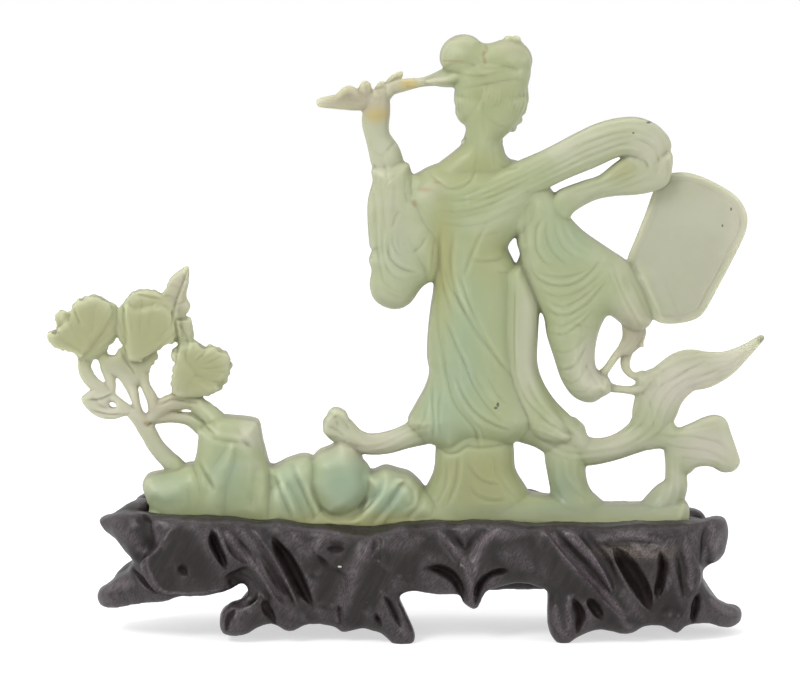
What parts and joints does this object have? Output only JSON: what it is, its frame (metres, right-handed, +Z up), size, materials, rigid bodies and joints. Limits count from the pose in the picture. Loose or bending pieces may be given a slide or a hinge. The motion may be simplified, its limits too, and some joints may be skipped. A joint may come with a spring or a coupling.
{
  "type": "jade figure group",
  "caption": "Pierced stone carving of a robed figure seen from behind, with a flowing scarf, a fan and peonies on rocks, in the recess of a root-carved wood stand.",
  "frame": {"origin": "on the table under the middle of the whole, at the bottom of the stand's feet", "axes": "+Z up, +X along the length towards the fan, -Y towards the viewer, who sees the figure's back"},
  "size_m": [0.2582, 0.0582, 0.2158],
  "materials": {
    "jade_carving": "polished, pale green and slightly translucent",
    "wood_stand": "dark satin lacquer"
  },
  "bodies": {
    "root": {"jade_carving": "jade_carving", "wood_stand": "wood_stand"}
  },
  "joints": []
}
